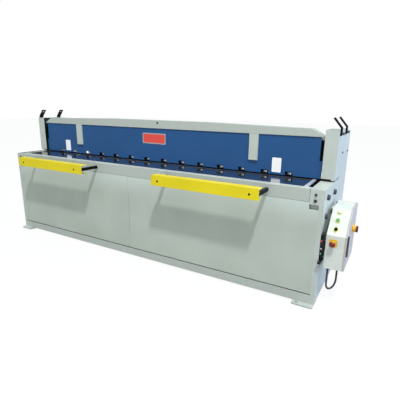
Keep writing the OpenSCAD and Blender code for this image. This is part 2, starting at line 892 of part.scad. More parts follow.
// Folded housing with a sloped front, open on the door's side
module control_box() {
    color(box_paint) {
        difference() {
            along_x(x_box, box_w) polygon(box_profile(0));
            along_x(x_box + box_wall, box_w) polygon(box_profile(box_wall));
        }
        for (z = hinge_zs) hinge_on_box(z);
    }
}

// Mounting plate with a rail of switchgear inside the box
module control_gear() {
    color(dark) translate([x_box + box_wall, y_box + box_in, box_z + box_in]) {
        cube([gear_plate_t, box_d - 2 * box_in, gear_plate_h]);
        for (i = [0:3]) translate([gear_plate_t - eps, box_in + i * gear_pitch, (gear_plate_h - gear[2]) / 2])
            cube(gear);
    }
}

// Places a control on the slope, its axis square to the sheet
module on_slope(share) {
    translate([button_x, y_box, z_knee]) rotate([slope_deg, 0, 0])
        translate([0, share * slope_len, 0]) children();
}

module button_bezels() {
    color(yellow) for (share = button_at) on_slope(share) difference() {
        union() {
            cylinder(h = plate_h, r = button_plate_r);
            cylinder(h = bezel_h, r = button_r + 4);
        }
        translate([0, 0, plate_h]) cylinder(h = bezel_h, r = button_r + control_play);
    }
}

module push_button() {
    translate([0, 0, plate_h + button_travel + control_play])
        cylinder(h = bezel_h + cap_up - plate_h - control_play, r = button_r);
}

module white_button() {
    color("white") on_slope(button_at[2]) push_button();
}

module green_button() {
    color("green") on_slope(button_at[1]) push_button();
}

// Selector with a grip across its face
module selector_knob() {
    color(dark) on_slope(button_at[0]) {
        translate([0, 0, plate_h + control_play]) cylinder(h = bezel_h - plate_h + cap_up, r = button_r);
        translate([-grip_w / 2, -button_r + 1, bezel_h]) cube([grip_w, 2 * button_r - 2, cap_up + grip_h]);
    }
}

// Square plate and collar of the emergency stop
module estop_base() {
    color(yellow) translate([stop_x, y_box, stop_z]) rotate([90, 0, 0]) difference() {
        union() {
            translate([-stop_plate / 2, -stop_plate / 2, 0])
                linear_extrude(stop_plate_t) round_rect(stop_plate, stop_plate, 6);
            cylinder(h = stop_base_h, r = stop_collar_r);
        }
        translate([0, 0, stop_plate_t]) cylinder(h = stop_base_h, r = stop_stem_r + control_play);
    }
}

// Mushroom head on its stem
module estop_button() {
    head = stop_base_h + stop_travel + control_play;
    stem = stop_plate_t + stop_travel + control_play;
    color("red") translate([stop_x, y_box, stop_z]) rotate([90, 0, 0]) rotate_extrude()
        polygon([[0, stem], [stop_stem_r, stem], [stop_stem_r, head], [stop_r - 2, head],
            [stop_r, head + 3], [stop_r, head + 8], [stop_r - 5, head + 13], [0, head + 15]]);
}

// Glands under the box, one for each end of the cable
module cable_glands() {
    color(dark) for (end = gland_ends) translate([end[0], end[1], 0]) {
        translate([0, 0, box_z - gland_nut_h]) cylinder(h = gland_nut_h, r = cable_d / 2 + 7, $fn = 6);
        translate([0, 0, gland_z])
            cylinder(h = box_z - gland_nut_h - gland_z, r1 = cable_d / 2 + 2, r2 = cable_d / 2 + 5);
    }
}

// Tube swept along the route, one ring square to the way through each point
function way(i) = let (n = len(cable_route) - 1,
    d = cable_route[min(i + 1, n)] - cable_route[max(i - 1, 0)]) d / norm(d);
function ring(i) = let (w = way(i), side = cross([0.901, -0.434, 0], w), a = side / norm(side),
    b = cross(w, a))
    [for (s = [0:cable_sides - 1]) cable_route[i]
        + cable_d / 2 * (a * cos(360 * s / cable_sides) + b * sin(360 * s / cable_sides))];

module control_cable() {
    rings = len(cable_route);
    points = [for (i = [0:rings - 1]) each ring(i)];
    sides = [for (i = [0:rings - 2], s = [0:cable_sides - 1]) let (a = i * cable_sides + s,
        b = i * cable_sides + (s + 1) % cable_sides) [a, b, b + cable_sides, a + cable_sides]];
    start = [for (s = [cable_sides - 1:-1:0]) s];
    end = [for (s = [0:cable_sides - 1]) (rings - 1) * cable_sides + s];
    color(dark) polyhedron(points, concat(sides, [start, end]));
}

// Door tray with its hinge knuckles
module box_door() {
    z_lap = knuckle_h + control_play;
    color(box_paint) difference() {
        union() {
            difference() {
                along_x(x_door, door_t) polygon(box_profile(door_back_gap));
                along_x(x_door - eps, door_t - sheet_t + eps) polygon(box_profile(door_back_gap + sheet_t));
            }
            for (z = hinge_zs) {
                translate([hinge_x, hinge_y, z + z_lap]) cylinder(h = hinge_h - 2 * z_lap, r = knuckle_r);
                block_between([hinge_x - 4, y_box_back - door_back_gap - sheet_t, z + z_lap],
                    [hinge_x + 4, hinge_y, z + hinge_h - z_lap]);
            }
        }
        for (z = hinge_zs) translate([hinge_x, hinge_y, z]) cylinder(h = hinge_h, r = pin_r + pin_play);
    }
}

// Plate of the main switch on the door
module isolator_plate() {
    color(yellow) translate([x_door + door_t, isolator_y, isolator_z]) rotate([90, 0, 90]) {
        translate([-isolator_w / 2, -isolator_w / 2, 0])
            linear_extrude(isolator_t) round_rect(isolator_w, isolator_w, 8);
        cylinder(h = isolator_collar, r = isolator_w * 0.36);
    }
}

module isolator_knob() {
    knob_r = isolator_w * 0.34;
    color("red") translate([x_door + door_t + isolator_collar + control_play, isolator_y, isolator_z])
        rotate([90, 0, 90]) {
            cylinder(h = knob_t, r = knob_r);
            translate([-knob_grip / 2, -knob_r, knob_t - eps])
                cube([knob_grip, 2 * knob_r, knob_grip_h + eps]);
        }
}

left_end_plate();
right_end_plate();
left_upper_post();
right_upper_post();
left_table_block();
right_table_block();
table_bed();
table_apron();
squaring_bar();
left_front_panel();
right_front_panel();
base_rails();
foot_plates();
top_beam();
clamp_guard();
guide_straps();
clamp_beam();
holddown_feet();
ram();
ram_cylinders();
upper_blade();
lower_blade();
left_front_rail();
right_front_rail();
rail_arms();
lifting_lugs();
rear_tie_beam();
rear_panel();
drop_chute();
gauge_arms();
back_gauge();
valve_manifold();
box_brackets();
control_box();
control_gear();
button_bezels();
estop_base();
cable_glands();
control_cable();
box_door();
isolator_plate();
isolator_knob();
estop_button();
white_button();
green_button();
selector_knob();
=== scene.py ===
"""Finish, fasteners, cable and studio of a hydraulic plate shear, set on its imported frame."""
import json
import math

import bmesh
import bpy
from bpy.props import FloatProperty, FloatVectorProperty, IntProperty, PointerProperty
from mathutils import Matrix, Vector
from mathutils.geometry import interpolate_bezier


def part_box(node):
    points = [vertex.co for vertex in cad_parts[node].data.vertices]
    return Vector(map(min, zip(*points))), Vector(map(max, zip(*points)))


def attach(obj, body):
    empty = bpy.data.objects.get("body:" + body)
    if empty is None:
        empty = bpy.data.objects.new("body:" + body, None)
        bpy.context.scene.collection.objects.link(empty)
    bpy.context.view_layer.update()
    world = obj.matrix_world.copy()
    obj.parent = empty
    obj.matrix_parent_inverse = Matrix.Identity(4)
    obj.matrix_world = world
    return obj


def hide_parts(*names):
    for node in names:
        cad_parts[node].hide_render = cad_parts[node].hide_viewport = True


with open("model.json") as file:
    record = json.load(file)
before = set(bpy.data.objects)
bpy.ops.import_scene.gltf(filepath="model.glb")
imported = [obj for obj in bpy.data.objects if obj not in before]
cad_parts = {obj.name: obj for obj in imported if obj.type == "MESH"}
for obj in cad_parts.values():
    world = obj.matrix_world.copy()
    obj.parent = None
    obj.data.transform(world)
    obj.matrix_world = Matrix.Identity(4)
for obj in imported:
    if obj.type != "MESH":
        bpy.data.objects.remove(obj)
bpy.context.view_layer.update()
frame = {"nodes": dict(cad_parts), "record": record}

bl_info = {
    "name": "Hydraulic shear finish",
    "version": (1, 0, 0),
    "blender": (4, 5, 0),
    "location": "3D View > Sidebar > Shear",
    "description": "Paints a hydraulic plate shear and adds its screws, plates, cable and studio",
    "category": "Object",
}

KEY_AIM = (0.3, -0.5, 0.6)
SIDE_AIM = (1.6, 0.1, 0.7)
MM = 0.001

# Cable under the control box, from the front gland round to the rear one, in metres
CABLE_ROUTE = [
    (1.700, -0.340, 0.270), (1.700, -0.340, 0.240), (1.700, -0.340, 0.210), (1.700, -0.340, 0.180),
    (1.700, -0.340, 0.158), (1.702, -0.336, 0.138), (1.707, -0.325, 0.119), (1.715, -0.308, 0.107),
    (1.725, -0.288, 0.102), (1.735, -0.268, 0.107), (1.743, -0.251, 0.119), (1.748, -0.240, 0.138),
    (1.750, -0.236, 0.158), (1.750, -0.236, 0.180), (1.750, -0.236, 0.210), (1.750, -0.236, 0.240),
    (1.750, -0.236, 0.270)]


# Sizes and colours

def colour_property(name, description, default):
    return FloatVectorProperty(name=name, description=description, subtype="COLOR_GAMMA", size=3,
                               min=0.0, max=1.0, default=default)


class ShearPaints(bpy.types.PropertyGroup):
    """Colours as they look, and how worn they are"""
    frame_colour: colour_property("Frame", "Grey-green enamel of the frame", (0.705, 0.735, 0.70))
    panel_colour: colour_property("Panels", "Grey-green enamel of the panels", (0.68, 0.715, 0.665))
    guard_colour: colour_property("Guard", "Blue enamel of the clamp guard", (0.127, 0.312, 0.505))
    rail_colour: colour_property("Rails", "Yellow enamel of the front rails", (0.86, 0.79, 0.05))
    box_colour: colour_property("Box", "Off-white powder coat of the control box", (0.795, 0.815, 0.775))
    black_colour: colour_property("Black", "Black enamel of lugs and arms", (0.025, 0.025, 0.03))
    steel_colour: colour_property("Steel", "Ground steel of the table", (0.65, 0.65, 0.66))
    bright_colour: colour_property("Bright steel", "Turned and ground steel", (0.93, 0.94, 0.96))
    wear: FloatProperty(name="Edge wear", description="Share of the edges that are rubbed bare",
                        min=0.0, max=1.0, default=0.35)
    dust: FloatProperty(name="Dust", description="Dust on faces that look up and near the floor",
                        min=0.0, max=1.0, default=0.25)
    edge: FloatProperty(name="Edge radius", description="Radius of the broken edges", unit="LENGTH",
                        min=0.0, max=0.01, default=0.0015)


class ShearScrews(bpy.types.PropertyGroup):
    """Sizes of the screw heads"""
    bolt_radius: FloatProperty(name="Bolt head", description="Radius of the large socket heads on the frame",
                               unit="LENGTH", min=0.005, max=0.03, default=0.020)
    bolt_height: FloatProperty(name="Bolt height", description="Height of the large socket heads",
                               unit="LENGTH", min=0.002, max=0.04, default=0.016)
    screw_radius: FloatProperty(name="Screw head", description="Radius of the small screw heads",
                                unit="LENGTH", min=0.002, max=0.015, default=0.007)
    screw_height: FloatProperty(name="Screw height", description="Height of the small screw heads",
                                unit="LENGTH", min=0.001, max=0.01, default=0.004)
    seed: IntProperty(name="Seed", description="Turns each head a little differently", default=7)


class ShearStudio(bpy.types.PropertyGroup):
    """Camera and light"""
    camera_place: FloatVectorProperty(name="Camera", description="Place of the camera", unit="LENGTH",
                                      size=3, default=(2.047, -2.791, 1.385))
    yaw: FloatProperty(name="Yaw", description="Turn of the camera to the left of the machine's back",
                       subtype="ANGLE", default=math.radians(29.83))
    pitch: FloatProperty(name="Pitch", description="Downward tilt of the camera", subtype="ANGLE",
                         default=math.radians(14.99))
    roll: FloatProperty(name="Roll", description="Roll of the camera", subtype="ANGLE",
                        default=math.radians(0.76))
    lens: FloatProperty(name="Lens", description="Focal length in millimetres on a 36 mm sensor",
                        min=10.0, max=200.0, default=31.6)
    sky: FloatProperty(name="Sky", description="Light of the white surroundings on the machine",
                       min=0.0, max=2.0, default=1.0)
    key: FloatProperty(name="Key lamp", description="Power of the lamp above the right front", unit="POWER",
                       min=0.0, max=5000.0, default=830.0)
    key_size: FloatProperty(name="Key size", description="Diameter of that lamp", unit="LENGTH",
                            min=0.05, max=3.0, default=0.7)
    side: FloatProperty(name="Side lamp", description="Power of the cool lamp on the right", unit="POWER",
                        min=0.0, max=2000.0, default=105.0)
    key_place: FloatVectorProperty(name="Key place", description="Place of that lamp", unit="LENGTH",
                                   size=3, default=(3.83, -4.48, 9.64))


class ShearSettings(bpy.types.PropertyGroup):
    """Everything that a user may change"""
    paints: PointerProperty(type=ShearPaints)
    screws: PointerProperty(type=ShearScrews)
    studio: PointerProperty(type=ShearStudio)


def settings():
    return bpy.context.scene.shear


def as_light(colour):
    """Linear colour with alpha, from a colour as it looks."""
    return [c / 12.92 if c <= 0.04045 else ((c + 0.055) / 1.055) ** 2.4 for c in colour] + [1.0]


def shade(colour, factor):
    return [min(1.0, c * factor) for c in colour]


# Shader groups that several finishes share

def new_group(name, inputs, outputs):
    tree = bpy.data.node_groups.new(name, "ShaderNodeTree")
    for label, kind, value in inputs:
        socket = tree.interface.new_socket(name=label, in_out="INPUT", socket_type="NodeSocket" + kind)
        if value is not None:
            socket.default_value = value
    for label, kind in outputs:
        tree.interface.new_socket(name=label, in_out="OUTPUT", socket_type="NodeSocket" + kind)
    return tree, tree.nodes.new("NodeGroupInput"), tree.nodes.new("NodeGroupOutput")


def add(tree, kind, values=None, **settings_of_node):
    """A node with its settings, and its inputs set from values or linked from sockets."""
    node = tree.nodes.new(kind)
    for key, value in settings_of_node.items():
        setattr(node, key, value)
    for key, value in (values or {}).items():
        if isinstance(value, bpy.types.NodeSocket):
            tree.links.new(value, node.inputs[key])
        else:
            node.inputs[key].default_value = value
    return node


def calc(tree, operation, a, b=0.5, clamp=False):
    return add(tree, "ShaderNodeMath", {0: a, 1: b}, operation=operation, use_clamp=clamp).outputs[0]


def spread(tree, value, low, high, to_low=0.0, to_high=1.0):
    """Value from low to high, mapped to to_low up to to_high and clamped."""
    return add(tree, "ShaderNodeMapRange", {"Value": value, "From Min": low, "From Max": high,
                                            "To Min": to_low, "To Max": to_high}).outputs[0]


def noise(tree, vector, scale, detail=2.0, roughness=0.5):
    return add(tree, "ShaderNodeTexNoise", {"Vector": vector, "Scale": scale, "Detail": detail,
                                            "Roughness": roughness}).outputs[0]


def near(tree, value, place, reach=0.0004):
    """One where the value lies within reach of the place."""
    return add(tree, "ShaderNodeMath", {0: value, 1: place, 2: reach}, operation="COMPARE").outputs[0]


def inside(tree, value, low, high):
    return near(tree, value, (low + high) / 2, (high - low) / 2)


def largest(tree, values):
    result = values[0]
    for value in values[1:]:
        result = calc(tree, "MAXIMUM", result, value)
    return result


def product(tree, values):
    result = values[0]
    for value in values[1:]:
        result = calc(tree, "MULTIPLY", result, value)
    return result


def painted_gap_shade_group():
    """Faces inside the throat slots, beside the bed and beside the guard, painted black as painted shade in these
    gaps.
    """
    tree, given, result = new_group("Painted gap shade", [("Vector", "Vector", None)], [("Mask", "Float")])
    axes = add(tree, "ShaderNodeSeparateXYZ", {0: given.outputs["Vector"]}).outputs
    x, y, z = calc(tree, "ABSOLUTE", axes[0]), axes[1], axes[2]
    post, block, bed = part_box("right_upper_post"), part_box("right_table_block"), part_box("table_bed")
    post_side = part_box("clamp_beam")[1].x
    skin = 0.5 * MM
    plate_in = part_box("right_table_block")[1].x
    foot = product(tree, [inside(tree, z, post[0].z, post[0].z + 8 * MM),
                          calc(tree, "LESS_THAN", x, plate_in + 8 * MM), near(tree, y, post[0].y)])
    slot = product(tree, [inside(tree, z, bed[1].z - skin, post[0].z + skin),
                          calc(tree, "LESS_THAN", x, plate_in + 8 * MM),
                          inside(tree, y, post[0].y + 5 * MM, post[1].y + 0.1)])
    beside_bed = product(tree, [near(tree, x, block[0].x), inside(tree, z, block[0].z, block[1].z - skin),
                                inside(tree, y, block[0].y + 2 * skin, block[1].y)])
    beside_guard = product(tree, [near(tree, x, post_side),
                                  inside(tree, y, post[0].y + skin, post[1].y),
                                  inside(tree, z, post[0].z, post[1].z)])
    tree.links.new(largest(tree, [slot, foot, beside_bed, beside_guard]), result.inputs["Mask"])
    return tree


def cross_members_group():
    """The top beam and the apron between the end blocks, which are drawn a little darker."""
    tree, given, result = new_group("Cross members", [("Vector", "Vector", None)], [("Mask", "Float")])
    axes = add(tree, "ShaderNodeSeparateXYZ", {0: given.outputs["Vector"]}).outputs
    half, beam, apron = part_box("table_apron")[1].x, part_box("top_beam"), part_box("table_apron")
    between = calc(tree, "LESS_THAN", calc(tree, "ABSOLUTE", axes[0]), half + MM)
    high = calc(tree, "GREATER_THAN", axes[2], beam[0].z - MM)
    low = calc(tree, "LESS_THAN", axes[2], apron[1].z - MM)
    tree.links.new(product(tree, [between, largest(tree, [high, low])]), result.inputs["Mask"])
    return tree


def painted_panel_top_light_group():
    """The upper strip of the panels, painted lighter towards their fold: a painted highlight where more light
    falls.
    """
    tree, given, result = new_group("Panel top painted light", [("Vector", "Vector", None)], [("Mask", "Float")])
    height = add(tree, "ShaderNodeSeparateXYZ", {0: given.outputs["Vector"]}).outputs[2]
    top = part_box("left_front_panel")[1].z
    rise = spread(tree, height, top - 0.20, top - 0.02)
    tree.links.new(calc(tree, "POWER", rise, 1.6), result.inputs["Mask"])
    return tree


def countersunk_group():
    """Dark countersunk screws in the faces of the front rails."""
    tree, given, result = new_group("Countersunk screws", [("Vector", "Vector", None)],
                                    [("Mask", "Float"), ("Height", "Float")])
    far = []
    for name, ends in (("left_front_rail", (0.073, 0.098)), ("right_front_rail", (0.061, 0.069))):
        low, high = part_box(name)
        for x in (low.x + ends[0], high.x - ends[1]):
            place = (x, low.y, low.z + 0.037)
            far.append(add(tree, "ShaderNodeVectorMath", {0: given.outputs["Vector"], 1: place},
                           operation="DISTANCE").outputs["Value"])
    nearest = far[0]
    for value in far[1:]:
        nearest = calc(tree, "MINIMUM", nearest, value)
    tree.links.new(spread(tree, nearest, 9.0 * MM, 8.4 * MM), result.inputs["Mask"])
    tree.links.new(spread(tree, nearest, 2.0 * MM, 8.0 * MM), result.inputs["Height"])
    return tree


def paint_film_group():
    """Orange peel of sprayed enamel, and the slow change of tone over a large face."""
    tree, given, result = new_group("Paint film", [("Vector", "Vector", None), ("Peel scale", "Float", 160.0),
                                                   ("Mottle scale", "Float", 2.2)],
                                    [("Peel", "Float"), ("Mottle", "Float")])
    peel = noise(tree, given.outputs["Vector"], given.outputs["Peel scale"], 2.0, 0.55)
    broad = noise(tree, given.outputs["Vector"], given.outputs["Mottle scale"], 4.0, 0.6)
    tree.links.new(peel, result.inputs["Peel"])
    tree.links.new(spread(tree, broad, 0.3, 0.7), result.inputs["Mottle"])
    return tree


def edge_wear_group():
    """Where an edge has been rubbed: the bevelled normal turns away from the face there."""
    tree, given, result = new_group("Edge wear", [("Vector", "Vector", None), ("Amount", "Float", 0.3),
                                                  ("Width", "Float", 0.003)], [("Mask", "Float")])
    round_edge = add(tree, "ShaderNodeBevel", {"Radius": given.outputs["Width"]}, samples=4)
    face = add(tree, "ShaderNodeNewGeometry")
    turn = add(tree, "ShaderNodeVectorMath", {0: round_edge.outputs[0], 1: face.outputs["Normal"]},
               operation="DOT_PRODUCT")
    edge = spread(tree, turn.outputs["Value"], 0.97, 0.80)
    patches = noise(tree, given.outputs["Vector"], 45.0, 5.0, 0.7)
    limit = calc(tree, "SUBTRACT", 0.85, calc(tree, "MULTIPLY", given.outputs["Amount"], 0.5))
    worn = spread(tree, calc(tree, "SUBTRACT", patches, limit), -0.12, 0.04)
    tree.links.new(calc(tree, "MULTIPLY", edge, worn, True), result.inputs["Mask"])
    return tree


def dust_group():
    """Dust on faces that look up, and scuffs near the floor."""
    tree, given, result = new_group("Dust", [("Vector", "Vector", None), ("Amount", "Float", 0.25)],
                                    [("Mask", "Float")])
    face = add(tree, "ShaderNodeNewGeometry")
    up = spread(tree, add(tree, "ShaderNodeSeparateXYZ", {0: face.outputs["Normal"]}).outputs[2], 0.5, 1.0)
    height = add(tree, "ShaderNodeSeparateXYZ", {0: given.outputs["Vector"]}).outputs[2]
    low = spread(tree, height, 0.30, 0.0, 0.0, 0.8)
    cloud = spread(tree, noise(tree, given.outputs["Vector"], 9.0, 6.0, 0.65), 0.42, 0.72)
    both = calc(tree, "MULTIPLY", calc(tree, "MAXIMUM", up, low), cloud)
    tree.links.new(calc(tree, "MULTIPLY", both, given.outputs["Amount"], True), result.inputs["Mask"])
    return tree


def grinding_group():
    """Fine lines left by grinding, along the direction in which Stretch is smallest."""
    tree, given, result = new_group("Grinding", [("Vector", "Vector", None), ("Stretch", "Vector", None)],
                                    [("Lines", "Float"), ("Tone", "Float")])
    placed = add(tree, "ShaderNodeVectorMath", {0: given.outputs["Vector"], 1: given.outputs["Stretch"]},
                 operation="MULTIPLY").outputs[0]
    tree.links.new(noise(tree, placed, 1.0, 3.0, 0.6), result.inputs["Lines"])
    broad = noise(tree, given.outputs["Vector"], 5.0, 4.0, 0.6)
    tree.links.new(spread(tree, broad, 0.3, 0.7), result.inputs["Tone"])
    return tree


def grain_group():
    """Fine grain of a moulded or powder coated skin."""
    tree, given, result = new_group("Moulded grain", [("Vector", "Vector", None), ("Scale", "Float", 900.0)],
                                    [("Grain", "Float"), ("Tone", "Float")])
    tree.links.new(noise(tree, given.outputs["Vector"], given.outputs["Scale"], 1.0, 0.5),
                   result.inputs["Grain"])
    broad = noise(tree, given.outputs["Vector"], 14.0, 3.0, 0.6)
    tree.links.new(spread(tree, broad, 0.3, 0.7), result.inputs["Tone"])
    return tree


# Finishes

def new_material(name):
    material = bpy.data.materials.new(name)
    material.use_nodes = True
    tree = material.node_tree
    shader = tree.nodes["Principled BSDF"]
    place = tree.nodes.new("ShaderNodeTexCoord").outputs["Object"]
    return material, tree, shader, place


def use_group(tree, name, values):
    node = tree.nodes.new("ShaderNodeGroup")
    node.node_tree = bpy.data.node_groups[name]
    for key, value in values.items():
        if isinstance(value, bpy.types.NodeSocket):
            tree.links.new(value, node.inputs[key])
        else:
            node.inputs[key].default_value = value
    return node


def mix_colour(tree, share, a, b):
    node = add(tree, "ShaderNodeMix", {0: share}, data_type="RGBA")
    for socket, value in ((node.inputs[6], a), (node.inputs[7], b)):
        if isinstance(value, bpy.types.NodeSocket):
            tree.links.new(value, socket)
        else:
            socket.default_value = value
    return node.outputs[2]


def set_bump(tree, shader, height, strength, distance):
    broken = add(tree, "ShaderNodeBevel", {"Radius": settings().paints.edge}, samples=4)
    bump = add(tree, "ShaderNodeBump", {"Height": height, "Strength": strength, "Distance": distance,
                                        "Normal": broken.outputs[0]})
    tree.links.new(bump.outputs[0], shader.inputs["Normal"])


def enamel(name, colour, rough=0.34, peel=0.12, wear=None, coat=0.0, bare=(0.42, 0.43, 0.44), gloss=0.38,
           marks=None, tone=None):
    """Sprayed enamel: orange peel, a slow change of tone, rubbed edges and a little dust."""
    paints = settings().paints
    material, tree, shader, place = new_material(name)
    film = use_group(tree, "Paint film", {"Vector": place})
    rubbed = use_group(tree, "Edge wear", {"Vector": place, "Amount": paints.wear if wear is None else wear})
    dust = use_group(tree, "Dust", {"Vector": place, "Amount": paints.dust})
    base = mix_colour(tree, film.outputs["Mottle"], as_light(shade(colour, 0.965)), as_light(shade(colour, 1.03)))
    if tone:
        other, where = tone
        base = mix_colour(tree, use_group(tree, where, {"Vector": place}).outputs["Mask"], base, as_light(other))
    dusty = mix_colour(tree, dust.outputs["Mask"], base, as_light((0.62, 0.60, 0.56)))
    look = mix_colour(tree, rubbed.outputs["Mask"], dusty, as_light(bare))
    height = film.outputs["Peel"]
    # Marks are painted near black: painted shade in the frame's gaps, and dark countersunk screw heads on the
    # rails
    if marks:
        dark = use_group(tree, marks, {"Vector": place})
        look = mix_colour(tree, dark.outputs["Mask"], look, as_light((0.05, 0.05, 0.055)))
    tree.links.new(look, shader.inputs["Base Color"])
    tree.links.new(calc(tree, "MULTIPLY", rubbed.outputs["Mask"], 0.6), shader.inputs["Metallic"])
    even = spread(tree, film.outputs["Mottle"], 0.0, 1.0, rough - 0.04, rough + 0.05)
    tree.links.new(calc(tree, "ADD", even, calc(tree, "MULTIPLY", dust.outputs["Mask"], 0.4), True),
                   shader.inputs["Roughness"])
    shader.inputs["Specular IOR Level"].default_value = gloss
    shader.inputs["Coat Weight"].default_value = coat
    shader.inputs["Coat Roughness"].default_value = 0.08
    set_bump(tree, shader, height, peel, 0.0006)
    return material


def powder_coat(name, colour, gloss=0.4):
    """Textured off-white powder coat."""
    material, tree, shader, place = new_material(name)
    shader.inputs["Specular IOR Level"].default_value = gloss
    grain = use_group(tree, "Moulded grain", {"Vector": place, "Scale": 420.0})
    dust = use_group(tree, "Dust", {"Vector": place, "Amount": settings().paints.dust * 0.6})
    base = mix_colour(tree, grain.outputs["Tone"], as_light(shade(colour, 0.97)), as_light(shade(colour, 1.02)))
    tree.links.new(mix_colour(tree, dust.outputs["Mask"], base, as_light((0.66, 0.64, 0.60))),
                   shader.inputs["Base Color"])
    tree.links.new(spread(tree, grain.outputs["Grain"], 0.2, 0.8, 0.38, 0.52), shader.inputs["Roughness"])
    set_bump(tree, shader, grain.outputs["Grain"], 0.25, 0.0004)
    return material


def ground_steel(name, colour, rough, stretch, bump=0.15, metal=0.7):
    """Ground steel: fine lines and soft stains of oil, and near black painted shade behind the guard."""
    material, tree, shader, place = new_material(name)
    lines = use_group(tree, "Grinding", {"Vector": place, "Stretch": stretch})
    base = mix_colour(tree, lines.outputs["Tone"], as_light(shade(colour, 0.93)), as_light(shade(colour, 1.03)))
    streaked = mix_colour(tree, spread(tree, lines.outputs["Lines"], 0.35, 0.65, 0.0, 0.25), base,
                          as_light(shade(colour, 0.80)))
    guard_shade = painted_guard_shade_mask(tree, place)
    # Near black painted shade under the guard
    tree.links.new(mix_colour(tree, guard_shade, streaked, (0.012, 0.012, 0.013, 1.0)),
                   shader.inputs["Base Color"])
    tree.links.new(calc(tree, "SUBTRACT", metal, guard_shade, True), shader.inputs["Metallic"])
    tree.links.new(calc(tree, "SUBTRACT", 0.5, calc(tree, "MULTIPLY", guard_shade, 0.4)),
                   shader.inputs["Specular IOR Level"])
    tree.links.new(spread(tree, lines.outputs["Tone"], 0.0, 1.0, rough - 0.05, rough + 0.08),
                   shader.inputs["Roughness"])
    set_bump(tree, shader, lines.outputs["Lines"], bump, 0.0002)
    return material


def painted_guard_shade_mask(tree, place):
    """Painted shade: one below the guard, from the shadow at its foot back to the lower blade."""
    guard_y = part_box("clamp_guard")[0].y
    y = add(tree, "ShaderNodeSeparateXYZ", {0: place}).outputs[1]
    return calc(tree, "MULTIPLY", spread(tree, y, guard_y - 12 * MM, guard_y - 4 * MM),
                calc(tree, "LESS_THAN", y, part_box("lower_blade")[1].y + MM))


def table_steel(name, colour):
    """Ground and oiled table: nearly a mirror, with dark navy painted shade where it runs on under the guard, its
    blue a painted reflection of the guard.
    """
    material, tree, shader, place = new_material(name)
    lines = use_group(tree, "Grinding", {"Vector": place, "Stretch": (6.0, 900.0, 900.0)})
    base = mix_colour(tree, lines.outputs["Tone"], as_light(shade(colour, 0.94)), as_light(shade(colour, 1.03)))
    guard_shade = painted_guard_shade_mask(tree, place)
    # Dark navy painted shade under the guard, tinted blue as a painted reflection of the guard
    tree.links.new(mix_colour(tree, guard_shade, base, (0.014, 0.024, 0.045, 1.0)), shader.inputs["Base Color"])
    tree.links.new(calc(tree, "SUBTRACT", 0.97, guard_shade, True), shader.inputs["Metallic"])
    tree.links.new(spread(tree, lines.outputs["Tone"], 0.0, 1.0, 0.08, 0.15), shader.inputs["Roughness"])
    tree.links.new(calc(tree, "SUBTRACT", 0.5, calc(tree, "MULTIPLY", guard_shade, 0.5)),
                   shader.inputs["Specular IOR Level"])
    set_bump(tree, shader, lines.outputs["Lines"], 0.03, 0.0001)
    return material


def foot_finish(name, dark, bright):
    """Turned feet: black oxide above, and bright steel where they press on the sheet."""
    material, tree, shader, place = new_material(name)
    foot_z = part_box("holddown_feet")[0].z
    height = add(tree, "ShaderNodeSeparateXYZ", {0: place}).outputs[2]
    pad = spread(tree, height, foot_z + 17 * MM, foot_z + 15 * MM)
    tree.links.new(mix_colour(tree, pad, as_light(dark), as_light(bright)), shader.inputs["Base Color"])
    tree.links.new(calc(tree, "MULTIPLY", pad, 0.9), shader.inputs["Metallic"])
    shader.inputs["Roughness"].default_value = 0.25
    shader.inputs["Specular IOR Level"].default_value = 0.3
    return material


def plastic(name, colour, rough=0.35, scale=900.0, bump=0.1, coat=0.0, gloss=0.5):
    """Moulded plastic or rubber with a fine grain."""
    material, tree, shader, place = new_material(name)
    shader.inputs["Specular IOR Level"].default_value = gloss
    grain = use_group(tree, "Moulded grain", {"Vector": place, "Scale": scale})
    tree.links.new(mix_colour(tree, grain.outputs["Tone"], as_light(shade(colour, 0.94)),
                              as_light(shade(colour, 1.05))), shader.inputs["Base Color"])
    tree.links.new(spread(tree, grain.outputs["Grain"], 0.2, 0.8, rough - 0.05, rough + 0.07),
                   shader.inputs["Roughness"])
    shader.inputs["Coat Weight"].default_value = coat
    set_bump(tree, shader, grain.outputs["Grain"], bump, 0.0002)
    return material


